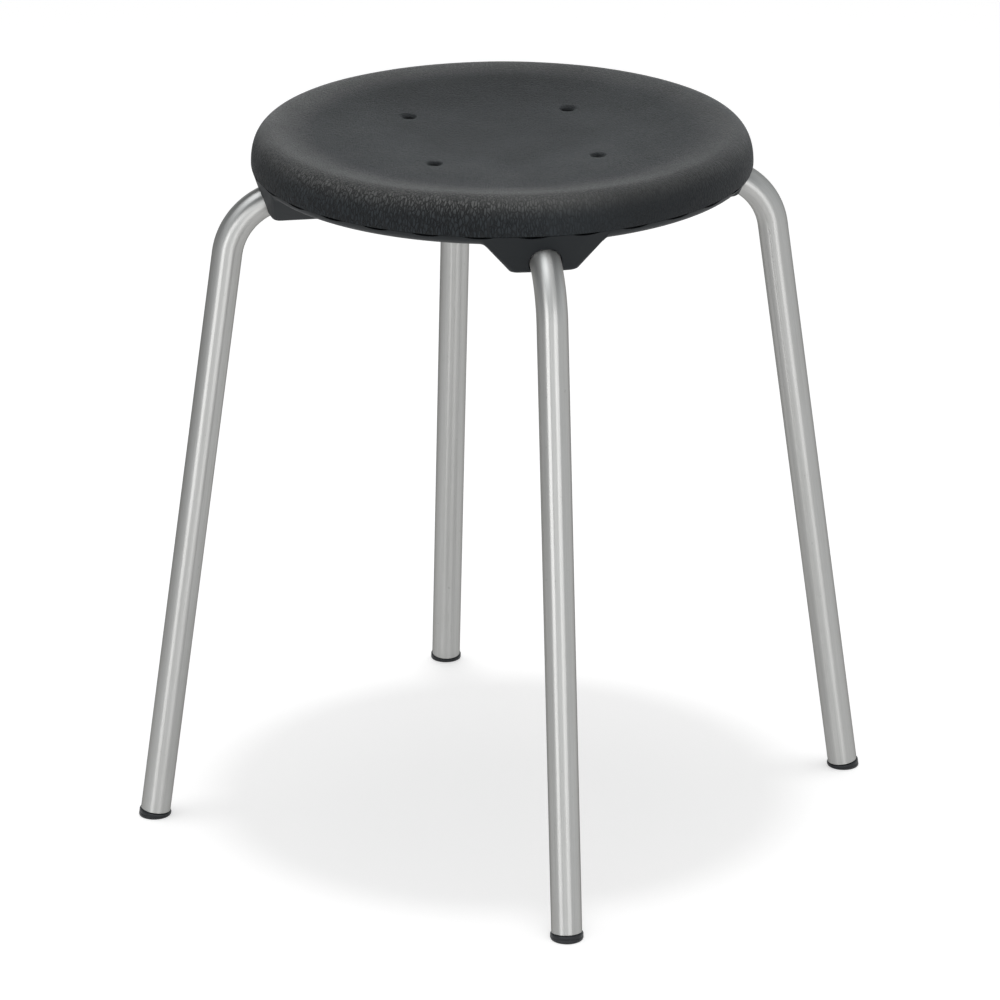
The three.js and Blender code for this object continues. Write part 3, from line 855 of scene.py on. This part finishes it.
def make_arm(turn):
    top = RIM_TOP + OVERRUN
    outlines = []
    for low, high, radius in zip(housing_walls(HOUSING_BOTTOM), housing_walls(top),
                                 (HOUSING_CORNER_RADIUS, HOUSING_EDGE_RADIUS)):
        outline = rounded([(0, HOUSING_BOTTOM, 0), (low, HOUSING_BOTTOM, radius), (high, top, 0)])
        outlines.append(outline[1:])
    rings = [arm_ring(side, end) for side, end in zip(*outlines)]
    ends = [circle(0, height, 1) for height in (HOUSING_BOTTOM, top)]
    return turned(make_object("arm", *skin([ends[0], *rings, ends[1]])), turn)


def rim_underside(radius):
    """The height of the shell's underside, which rises beyond its level part."""
    out = max(0.0, min(1.0, (radius - LOWER_RIM_CENTRE) / LOWER_RIM_WIDTH))
    return WIDEST_HEIGHT - LOWER_RIM_HEIGHT * math.sqrt(1 - out * out)


def side_wall(x, height):
    """How far a housing's side stands from its middle plane, where it rounds into the face."""
    half_width, reach = housing_walls(height)
    beyond = x - corner_centre(half_width, reach)
    if beyond <= 0:
        return half_width
    return half_width - HOUSING_PLAN_RADIUS + math.sqrt(max(0.0, HOUSING_PLAN_RADIUS ** 2 - beyond ** 2))


def fillet_section(x, length):
    """A section of the end fillet, as points of (sideways, up), buried in the housing and the rim."""
    height = FLOOR_BOTTOM
    for _ in range(FILLET_TRIES):
        height = rim_underside(math.hypot(x, side_wall(x, height)))
    slant = math.atan2(FLOOR_BOTTOM - HOUSING_BOTTOM, HOUSING_FLARE)
    low = height - length * math.sin(slant)
    corner = Vector((side_wall(x, height), height))
    foot, tip = Vector((side_wall(x, low), low)), Vector((corner.x + length, 0))
    tip.y = rim_underside(math.hypot(x, tip.x))
    outline = [(foot.x - FILLET_BURIAL, foot.y)]
    for t in (j / FILLET_CURVE_STEPS for j in range(FILLET_CURVE_STEPS + 1)):
        outline.append((foot * (1 - t) ** 2 + corner * 2 * t * (1 - t) + tip * t * t).to_tuple())
    return outline + [(tip.x, tip.y + FILLET_COVER), (foot.x - FILLET_BURIAL, height + FILLET_COVER)]


def end_fillet(hand):
    """The fillet between one side of the housing on +X and the rising rim, run out at the face."""
    slant = math.atan2(FLOOR_BOTTOM - HOUSING_BOTTOM, HOUSING_FLARE)
    start = LOWER_RIM_CENTRE - HOUSING_FILLET - FILLET_OVERLAP
    end = SEAT_RADIUS - FILLET_END_INSET
    rings = []
    for k in range(FILLET_STEPS + 1):
        x = start + (end - start) * k / FILLET_STEPS
        left = min(1.0, (end - x + FILLET_LAST_RUN) / FILLET_RUN_OUT)
        length = HOUSING_FILLET * math.tan(slant / 2) * math.sqrt(1 - (1 - left) ** 2)
        rings.append([(x, y * hand, z) for y, z in fillet_section(x, length)])
    verts, faces = skin(rings)
    count = len(rings[0])
    faces += [tuple(range(count)), tuple(range(len(verts) - count, len(verts)))]
    return make_object("end_fillet", verts, faces)


def housing_arms():
    """Two crossed bars with a housing at both ends of each, and the fillets where they meet the shell."""
    reach = LOWER_RIM_CENTRE - HOUSING_FILLET
    for k in range(2):
        yield make_arm(k * QUARTER)
        foot = turned(bar("arm_foot", filleted_section(), -reach, reach), k * QUARTER)
        bound = lathe("bound", [(0, HOUSING_BOTTOM), (reach, HOUSING_BOTTOM),
                                (reach, FLOOR_TOP), (0, FLOOR_TOP)])
        yield combine(foot, [bound], "INTERSECT")
    for hand in (1, -1):
        yield repeated(end_fillet(hand), len(SIDES))


def housing_hollows():
    """What is cut from the housing on +X: its ribbed hollow, the tube's channel and mouth, bolt holes."""
    low, high = HOUSING_BOTTOM + SHELL_WALL, RIM_TOP + OVERRUN
    hollow = combine(bar("hollow", housing_section(SHELL_WALL, low, high), HUB_RADIUS, SEAT_RADIUS),
                     [envelope(SHELL_WALL, low, high)], "INTERSECT")
    ribs = [block("rib", radius, radius + RIB_THICKNESS, HOUSING_TOP_WIDTH,
                  HOUSING_BOTTOM, high + RIB_OVERRUN) for radius in RIB_RADII]
    yield combine(hollow, ribs, "DIFFERENCE")
    yield rod("channel", CHANNEL_RADIUS)
    yield block("slot", INNER_END - CLEARANCE, BEND_START, CHANNEL_RADIUS, RUN_HEIGHT, high)
    gate = block("gate", LOWER_RIM_CENTRE, SEAT_RADIUS + OVERRUN, HOUSING_TOP_WIDTH, 0, high)
    yield combine(rod("mouth", TUBE_RADIUS + MOUTH_CLEARANCE), [gate], "INTERSECT")
    bore = BOLT_RADIUS + CLEARANCE
    for radius in BOLT_RADII.values():
        hole = lathe("bolt_hole", [(0, HOUSING_BOTTOM - OVERRUN), (bore, HOUSING_BOTTOM - OVERRUN),
                                   (bore, high), (0, high)], SMALL_SEGMENTS)
        yield turned(hole, 0, radius)


def seam_gaps():
    """Shallow arched gaps in the shell's rim, all round under the cushion."""
    bend = ((GAP_LENGTH / 2) ** 2 + GAP_HEIGHT ** 2) / (2 * GAP_HEIGHT)
    spread = math.asin(GAP_LENGTH / 2 / bend)
    curve = arc((0, RIM_TOP - GAP_HEIGHT + bend), bend, bend,
                -math.pi / 2 - spread, -math.pi / 2 + spread, SEAM_STEPS)
    top = RIM_TOP + OVERRUN
    outline = curve + [(GAP_LENGTH / 2, top), (-GAP_LENGTH / 2, top)]
    return repeated(bar("gap", outline, SEAM_RADIUS - GAP_DEPTH, SEAT_RADIUS), GAP_COUNT, GAP_PHASE)


def make_shell():
    lip_angle = math.asin((RIM_TOP - WIDEST_HEIGHT) / LOWER_RIM_HEIGHT)
    lip = arc((LOWER_RIM_CENTRE, WIDEST_HEIGHT), LOWER_RIM_WIDTH, LOWER_RIM_HEIGHT,
              -math.pi / 2, lip_angle, SHELL_RIM_STEPS)
    shell = lathe("under_shell_skin", [(0, FLOOR_BOTTOM), (LOWER_RIM_CENTRE - HOUSING_FILLET, FLOOR_BOTTOM),
                                       *lip, (0, RIM_TOP)])
    combine(shell, housing_arms(), "UNION")
    outside, high = SEAT_RADIUS + OVERRUN, RIM_TOP + 2 * OVERRUN
    recess = lathe("recess", [(0, FLOOR_TOP), (RECESS_RADIUS, FLOOR_TOP), (RECESS_RADIUS, RIM_TOP),
                              (outside, RIM_TOP), (outside, high), (0, high)])
    low = HOUSING_BOTTOM + SHELL_WALL
    well = lathe("well", [(0, low), (HUB_WELL_RADIUS, low), (HUB_WELL_RADIUS, high), (0, high)])
    combine(shell, [recess, well], "DIFFERENCE")
    for hollow in housing_hollows():
        for k in range(1, len(SIDES)):
            combine(shell, [turned(copied(hollow, "hollow_copy"), k * QUARTER)], "DIFFERENCE")
        combine(shell, [hollow], "DIFFERENCE")
    return cleaned(combine(shell, [seam_gaps()], "DIFFERENCE"))


# Legs: level from the inner end, round the bend, then down to the glide

def leg_stations(straight_steps):
    """Points along the centre line of the leg on +X, each (x, z, turn), with the length so far."""
    stations = [(INNER_END + (BEND_START - INNER_END) * k / RUN_STEPS, RUN_HEIGHT, 0.0)
                for k in range(RUN_STEPS)]
    for k in range(BEND_STEPS + 1):
        turn = BEND_TURN * k / BEND_STEPS
        stations.append((BEND_START + BEND_RADIUS * math.sin(turn),
                         RUN_HEIGHT - BEND_RADIUS + BEND_RADIUS * math.cos(turn), turn))
    x, z, _ = stations[-1]
    end_x = FOOT_CIRCLE - math.sin(SPLAY) * FOOT_HEIGHT
    end_z = math.cos(SPLAY) * FOOT_HEIGHT
    for k in range(1, straight_steps + 1):
        share = k / straight_steps
        stations.append((x + (end_x - x) * share, z + (end_z - z) * share, BEND_TURN))
    lengths = [0.0]
    for a, b in zip(stations, stations[1:]):
        lengths.append(lengths[-1] + math.hypot(b[0] - a[0], b[1] - a[1]))
    return stations, lengths


def ring_at(station, radius, sides, ahead=0.0):
    """A ring of points square to the centre line at a station, or a little ahead of it."""
    x, z, turn = station
    forward = (math.cos(turn), -math.sin(turn))
    outward = (math.sin(turn), math.cos(turn))
    points = []
    for k in range(sides):
        angle = 2 * math.pi * k / sides
        up, side = radius * math.cos(angle), radius * math.sin(angle)
        points.append((x + outward[0] * up + forward[0] * ahead, side,
                       z + outward[1] * up + forward[1] * ahead))
    return points


def rod(name, radius):
    """A solid rod along the leg's path, to cut with."""
    stations, _ = leg_stations(straight_steps=2)
    ends = [[(station[0], 0.0, station[1])] for station in (stations[0], stations[-1])]
    rings = [ring_at(station, radius, CUTTER_SEGMENTS) for station in stations]
    return make_object(name, *skin([ends[0], *rings, ends[1]]))


def make_leg(name, offset):
    """A tube with a wall and deburred rims, and texture places that run along it and round it."""
    stations, lengths = leg_stations(STRAIGHT_STEPS)
    outer, inner, chamfer = TUBE_RADIUS, TUBE_RADIUS - TUBE_WALL, TUBE_CHAMFER
    first, last, end = stations[0], stations[-1], lengths[-1]
    between = list(zip(stations[1:-1], lengths[1:-1]))
    loops = [(first, outer - chamfer, 0.0, 0.0), (first, outer, chamfer, chamfer)]
    loops += [(station, outer, 0.0, length) for station, length in between]
    loops += [(last, outer, -chamfer, end - chamfer), (last, outer - chamfer, 0.0, end),
              (last, inner + chamfer, 0.0, end), (last, inner, -chamfer, end - chamfer)]
    loops += [(station, inner, 0.0, length) for station, length in reversed(between)]
    loops.append((first, inner, 0.0, 0.0))
    rings = [ring_at(station, radius, TUBE_SEGMENTS, ahead) for station, radius, ahead, _ in loops]
    verts, faces = skin(rings, closed=True)
    around = [2 * math.pi * TUBE_RADIUS * MM * k / TUBE_SEGMENTS for k in range(TUBE_SEGMENTS + 1)]
    along = [(length + offset) * MM for *_, length in loops]
    uvs = [[(u0, v0), (u1, v0), (u1, v1), (u0, v1)]
           for u0, u1 in zip(along, along[1:] + along[:1])
           for v0, v1 in zip(around, around[1:])]
    return make_object(name, verts, faces, TURNED_ANGLE, uvs)


# Glides: turned about the tube's axis, with a ring line, cut level at the floor

def stem_profile():
    """The stem with its fins, from its tip down to the flange, as points of (radius, up)."""
    core, tip = STEM_RADIUS - FOOT_FIN_DEPTH, FOOT_HEIGHT + FOOT_STEM_LENGTH
    inside, edge = STEM_RADIUS - FOOT_FIN_EDGE, FOOT_FIN_EDGE
    profile = [(0, tip), (core - FOOT_STEM_TIP, tip), (core, tip - FOOT_STEM_TIP)]
    for k in reversed(range(FOOT_FIN_COUNT)):
        high = FOOT_HEIGHT + FOOT_FIN_PITCH * (k + 1)
        low = high - FOOT_FIN_WIDTH
        profile += [(core, high), (inside, high), (STEM_RADIUS, high - edge),
                    (STEM_RADIUS, low + edge), (inside, low), (core, low)]
    return profile + [(core, FOOT_HEIGHT - CLEARANCE)]


def make_glide():
    axis = Vector((math.sin(SPLAY), 0, -math.cos(SPLAY)))
    out = Vector((math.cos(SPLAY), 0, math.sin(SPLAY)))
    side = Vector((0, 1, 0))
    foot = Vector((FOOT_CIRCLE, 0, 0))
    angles = [2 * math.pi * k / TUBE_SEGMENTS for k in range(TUBE_SEGMENTS)]

    def square_ring(radius, up):
        if radius == 0:
            return [foot - axis * up]
        return [foot - axis * up + (out * math.cos(a) + side * math.sin(a)) * radius for a in angles]

    def level_ring(radius, height):
        return [point + axis * ((point.z - height) / math.cos(SPLAY)) for point in square_ring(radius, 0)]

    flange_top = FOOT_HEIGHT - CLEARANCE
    upper = stem_profile() + [(FOOT_RADIUS - FOOT_EDGE_INSET, flange_top),
                              (FOOT_RADIUS - FOOT_EDGE_STEP, flange_top - FOOT_EDGE_STEP)]
    rings = [square_ring(radius, up) for radius, up in upper]
    tops = square_ring(FOOT_RADIUS, flange_top - FOOT_EDGE_DROP)
    bottoms = level_ring(FOOT_RADIUS, SOLE_EDGE_HEIGHT)
    rings.append(tops)
    for share, depth in zip(FOOT_LINE_SHARES, (0.0, FOOT_LINE_DEPTH, 0.0)):
        middles = [top.lerp(bottom, share) for top, bottom in zip(tops, bottoms)]
        rings.append([middle + (foot - middle).normalized() * depth for middle in middles])
    rings += [bottoms, level_ring(FOOT_RADIUS - SOLE_EDGE_STEP, SOLE_EDGE_STEP),
              level_ring(FOOT_RADIUS - SOLE_EDGE_INSET, 0.0), [foot]]
    return make_object("glide", *skin(rings), TURNED_ANGLE)


# Button head bolts with a hexagon socket, seen from below

def hexagon(grow, height):
    """A ring of the socket, with as many points as the rings of the head that it joins."""
    points = []
    for k in range(SMALL_SEGMENTS):
        angle = 2 * math.pi * k / SMALL_SEGMENTS
        local = (angle + math.pi / 6) % (math.pi / 3) - math.pi / 6
        radius = SOCKET_WIDTH / 2 / math.cos(local) + grow
        points.append((radius * math.cos(angle), radius * math.sin(angle), height))
    return points


def make_bolt():
    head_top = HOUSING_BOTTOM - CLEARANCE
    head_bottom = head_top - BOLT_HEAD_HEIGHT
    rim = head_top - BOLT_HEAD_LIP
    head_radius = BOLT_RADIUS + BOLT_HEAD_OVERHANG
    tip = PLATE_TOP - BOLT_TIP_INSET
    dome = arc((head_radius - BOLT_DOME_WIDTH, rim), BOLT_DOME_WIDTH, rim - head_bottom,
               -math.pi / 2, 0, CORNER_STEPS)
    profile = dome + [(head_radius, head_top - BOLT_HEAD_EDGE), (head_radius - BOLT_HEAD_EDGE, head_top),
                      (BOLT_RADIUS, head_top), (BOLT_RADIUS, tip - BOLT_TIP_CHAMFER),
                      (BOLT_RADIUS - BOLT_TIP_CHAMFER, tip), (0, tip)]
    socket_top = head_bottom + SOCKET_DEPTH
    rings = [circle(0, socket_top, SMALL_SEGMENTS), hexagon(0, socket_top),
             hexagon(0, head_bottom + SOCKET_CHAMFER), hexagon(SOCKET_CHAMFER, head_bottom)]
    rings += [circle(radius, height, SMALL_SEGMENTS) for radius, height in profile]
    return make_object("bolt", *skin(rings))


# Camera, floor, world and lamps

def add_camera():
    azimuth, elevation = math.radians(CAMERA_AZIMUTH), math.radians(CAMERA_ELEVATION)
    back = Vector((math.sin(azimuth) * math.cos(elevation),
                   -math.cos(azimuth) * math.cos(elevation), math.sin(elevation)))
    right = Vector((math.cos(azimuth), math.sin(azimuth), 0))
    data = bpy.data.cameras.new("camera")
    data.sensor_width = CAMERA_SENSOR
    data.lens = CAMERA_LENS
    data.clip_end = CAMERA_FAR
    camera = bpy.data.objects.new("camera", data)
    scene.collection.objects.link(camera)
    facing = Matrix((right, back.cross(right), back)).transposed().to_4x4()
    roll = Matrix.Rotation(math.radians(CAMERA_ROLL), 4, "Z")
    camera.matrix_world = Matrix.Translation(Vector(CAMERA_PLACE)) @ facing @ roll
    scene.camera = camera


def seen_rays(nodes):
    """1 for rays from the camera, a mirror or glass, and 1 for those from a mirror or glass alone."""
    path = nodes.add("ShaderNodeLightPath").outputs
    mirrored = nodes.math("MAXIMUM", path["Is Glossy Ray"], path["Is Transmission Ray"])
    return nodes.math("MAXIMUM", path["Is Camera Ray"], mirrored), mirrored


def studio_shade(nodes, direction, mirrored, limits, depth):
    """1, which falls towards the left rear for mirrored rays, where the studio is darker."""
    towards = nodes.vector("DOT_PRODUCT", direction, LEFT_REAR)
    return nodes.total(1.0, (nodes.ramp(towards, *limits), mirrored, -depth))


def add_floor():
    """A pale floor that shows white where nothing shades it, and keeps the stool's shadow."""
    bpy.ops.mesh.primitive_plane_add(size=FLOOR_SIZE)
    floor = bpy.context.object
    floor.name = "floor"
    material = bpy.data.materials.new("floor_white")
    material.use_nodes = True
    nodes = Nodes(material.node_tree)
    nodes.tree.nodes.clear()
    seen, mirrored = seen_rays(nodes)
    place = nodes.add("ShaderNodeNewGeometry").outputs["Position"]
    shade_there = studio_shade(nodes, place, mirrored, FLOOR_SHADE_BAND, FLOOR_SHADE)
    glow = nodes.add("ShaderNodeEmission", Strength=nodes.product(seen, FLOOR_GLOW, shade_there))
    both = nodes.add("ShaderNodeAddShader")
    nodes.put(both.inputs[0], nodes.add("ShaderNodeBsdfDiffuse", Color=FLOOR_TONE).outputs[0])
    nodes.put(both.inputs[1], glow.outputs[0])
    nodes.add("ShaderNodeOutputMaterial", Surface=both.outputs[0])
    floor.data.materials.append(material)


def add_world():
    """Soft light from all round, which the camera sees as plain white and metal as a studio,
    lighter overhead and low behind the stool than between."""
    world = bpy.data.worlds.new("world")
    scene.world = world
    world.use_nodes = True
    nodes = Nodes(world.node_tree)
    nodes.tree.nodes.clear()
    seen, mirrored = seen_rays(nodes)
    direction = nodes.add("ShaderNodeTexCoord").outputs["Generated"]
    sky = nodes.add("ShaderNodeSeparateXYZ", Vector=direction).outputs
    backdrop = nodes.product(nodes.ramp(sky["Y"], 0.6, 0.9), nodes.ramp(sky["Z"], 0.34, 0.1))
    upper = nodes.ramp(sky["Z"], 0.3, 0.56)
    overhead = nodes.ramp(nodes.vector("DOT_PRODUCT", direction, OVERHEAD), 0.86, 0.97)
    change = nodes.total((backdrop, BACKDROP_GAIN), (upper, -UPPER_LOSS), (overhead, OVERHEAD_GAIN))
    strength = nodes.product(nodes.total((seen, 1 - WORLD_LIGHT), WORLD_LIGHT),
                             studio_shade(nodes, direction, mirrored, WORLD_SHADE_BAND, WORLD_SHADE),
                             nodes.total((change, mirrored), 1.0))
    background = nodes.add("ShaderNodeBackground", Color=nodes.mix(mirrored, WHITE, COOL_WHITE),
                           Strength=strength)
    nodes.add("ShaderNodeOutputWorld", Surface=background.outputs[0])


def add_lamp(name, kind, power, place, target=(0, 0, 0)):
    lamp = bpy.data.objects.new(name, bpy.data.lights.new(name, kind))
    scene.collection.objects.link(lamp)
    lamp.data.energy = power
    lamp.location = place
    lamp.rotation_euler = (Vector(target) - Vector(place)).to_track_quat("-Z", "Y").to_euler()
    return lamp


def add_sun(name, spread, power, place):
    add_lamp(name, "SUN", power, place).data.angle = math.radians(spread)


def add_overhead(name, size, power, place):
    """A round lamp that gives light and shadow, but doesn't show in metal."""
    lamp = add_lamp(name, "AREA", power, place)
    lamp.data.shape = "DISK"
    lamp.data.size = size
    lamp.visible_glossy = False


def add_strip(name, width, power, place, lights_all=False):
    """An upright lamp that shows in metal as a streak, and gives diffuse light only if said."""
    lamp = add_lamp(name, "AREA", power, place, STRIP_TARGET)
    lamp.data.shape = "RECTANGLE"
    lamp.data.size, lamp.data.size_y = width, STRIP_HEIGHT
    lamp.visible_diffuse = lights_all


add_camera()
add_floor()
add_world()
add_sun("overhead_soft", spread=60, power=0.9, place=(0, 0.3, 3))
add_overhead("overhead_core", size=0.24, power=17.5, place=(0, 0, 2.8))
add_strip("strip_left", width=0.6, power=4.8, place=(-1.09, -1.17, 0.45))
add_strip("strip_right", width=0.65, power=3.8, place=(0.36, -1.57, 0.45))
add_strip("front_soft", width=1.2, power=3.0, place=(-0.3, -1.9, 0.45), lights_all=True)

foam = finish_cushion()
plastic = finish_shell()
steel = finish_tube()
glide_plastic = finish_glide()
bolt_steel = finish_steel("bolt_steel", BOLT_DARK, BOLT_PALE, roughness=0.26)
plated = finish_steel("plated_steel", PLATED_DARK, PLATED_PALE, roughness=0.3)
plywood = finish_plywood()


def fit(piece, material, node):
    """Dresses a piece, puts it in its node's place and on the stool's one body."""
    wear(piece, material)
    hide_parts(node)
    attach(piece, "root")


cushion = make_cushion()
fit(cushion, foam, "seat_cushion")
fit(make_shell(), plastic, "under_shell")

glide = make_glide()
bolt = make_bolt()
for index, side in enumerate(SIDES):
    turn = index * QUARTER
    leg = make_leg(f"leg_tube_{side}", index * TUBE_TEXTURE_STEP)
    fit(turned(leg, turn), steel, f"leg_{side}")
    fit(turned(copied(glide, f"glide_{side}"), turn), glide_plastic, f"foot_{side}")
    for place, radius in BOLT_RADII.items():
        screw = turned(copied(bolt, f"button_bolt_{side}_{place}"), turn, radius)
        fit(screw, bolt_steel, f"bolt_{side}_{place}")
        wear(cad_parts[f"insert_{side}_{place}"], plated)
wear(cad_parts["seat_plate"], plywood)
remove(glide)
remove(bolt)
